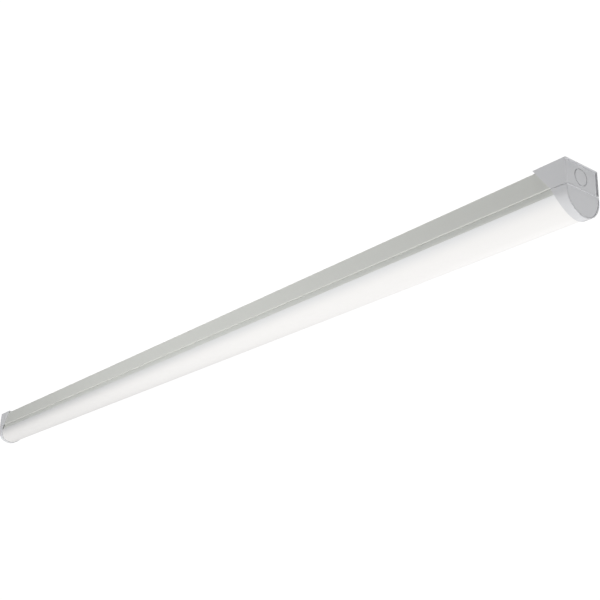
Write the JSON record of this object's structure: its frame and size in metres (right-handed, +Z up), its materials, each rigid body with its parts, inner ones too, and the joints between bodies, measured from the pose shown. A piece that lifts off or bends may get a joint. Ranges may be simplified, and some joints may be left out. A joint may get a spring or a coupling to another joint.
{
  "type": "led batten light",
  "caption": "Slim surface ceiling batten light: folded steel spine, drop-down gear tray with led boards and driver, opal half-round diffuser and moulded end caps.",
  "frame": {"origin": "centre of the plane that meets the ceiling, on the spine's middle pad", "axes": "+X along the batten towards the near end, +Y across it, +Z up into the ceiling"},
  "size_m": [1.8, 0.06, 0.071],
  "materials": {
    "painted_steel": "satin pale grey-white powder coat",
    "painted_tray_steel": "satin pale grey-white powder coat",
    "cap_plastic": "fine satin moulded plastic, pale cool grey",
    "opal_plastic": "smooth satin opal white",
    "grommet_rubber": "matt black",
    "terminal_plastic": "off-white moulded plastic",
    "driver_plastic": "off-white moulded plastic",
    "circuit_laminate": "green circuit laminate",
    "button_brown": "moulded",
    "button_green": "moulded",
    "button_blue": "moulded",
    "lead_brown": "insulated wire",
    "lead_blue": "insulated wire",
    "lead_green": "insulated wire",
    "lead_red": "insulated wire",
    "lead_black": "insulated wire",
    "lead_white": "insulated wire",
    "strap_nylon": "woven nylon webbing",
    "board_enamel": "white board enamel with pale led packages",
    "zinc_plated_steel": "bright zinc plate",
    "spring_steel": "bright spring steel"
  },
  "bodies": {
    "spine": {"spine_channel": "painted_steel", "near_spine_cap": "cap_plastic", "far_spine_cap": "cap_plastic", "cable_grommet": "grommet_rubber", "terminal_block": "terminal_plastic", "terminal_screw": "zinc_plated_steel", "spine_earth_stud": "zinc_plated_steel", "spine_earth_nut": "zinc_plated_steel", "spine_earth_lead": "lead_green", "live_lead": "lead_brown", "neutral_lead": "lead_blue", "tray_earth_lead": "lead_green", "near_strap": "strap_nylon", "far_strap": "strap_nylon"},
    "tray": {"gear_tray": "painted_tray_steel", "near_diffuser_cap": "cap_plastic", "far_diffuser_cap": "cap_plastic", "diffuser": "opal_plastic", "driver_input": "terminal_plastic", "driver_output": "terminal_plastic", "driver_base": "driver_plastic", "driver_lid": "driver_plastic", "driver_board": "circuit_laminate", "output_lead_positive": "lead_red", "output_lead_negative": "lead_black", "led_board_1": "board_enamel", "tray_clip_1": "spring_steel", "led_board_2": "board_enamel", "tray_clip_2": "spring_steel", "led_board_3": "board_enamel", "tray_clip_3": "spring_steel", "led_board_4": "board_enamel", "tray_clip_4": "spring_steel", "board_screw_1": "zinc_plated_steel", "board_screw_2": "zinc_plated_steel", "board_screw_3": "zinc_plated_steel", "board_screw_4": "zinc_plated_steel", "board_screw_5": "zinc_plated_steel", "board_screw_6": "zinc_plated_steel", "board_screw_7": "zinc_plated_steel", "board_screw_8": "zinc_plated_steel", "board_link_1": "lead_white", "board_link_2": "lead_white", "board_link_3": "lead_white", "driver_screw_1": "zinc_plated_steel", "driver_screw_2": "zinc_plated_steel", "tray_earth_stud": "zinc_plated_steel", "tray_earth_nut": "zinc_plated_steel"},
    "live_button": {"terminal_button_live": "button_brown"},
    "earth_button": {"terminal_button_earth": "button_green"},
    "neutral_button": {"terminal_button_neutral": "button_blue"}
  },
  "joints": [
    {"name": "tray_drop", "type": "slide", "parent": "spine", "child": "tray", "axis": [0, 0, -1], "range_m": [0, 0.12], "deforming": ["live_lead", "neutral_lead", "tray_earth_lead", "near_strap", "far_strap"]},
    {"name": "live_button_press", "type": "slide", "parent": "spine", "child": "live_button", "axis": [0, 0, 1], "range_m": [0, 0.0012], "stiffness_N_per_m": 400},
    {"name": "earth_button_press", "type": "slide", "parent": "spine", "child": "earth_button", "axis": [0, 0, 1], "range_m": [0, 0.0012], "stiffness_N_per_m": 400},
    {"name": "neutral_button_press", "type": "slide", "parent": "spine", "child": "neutral_button", "axis": [0, 0, 1], "range_m": [0, 0.0012], "stiffness_N_per_m": 400}
  ]
}
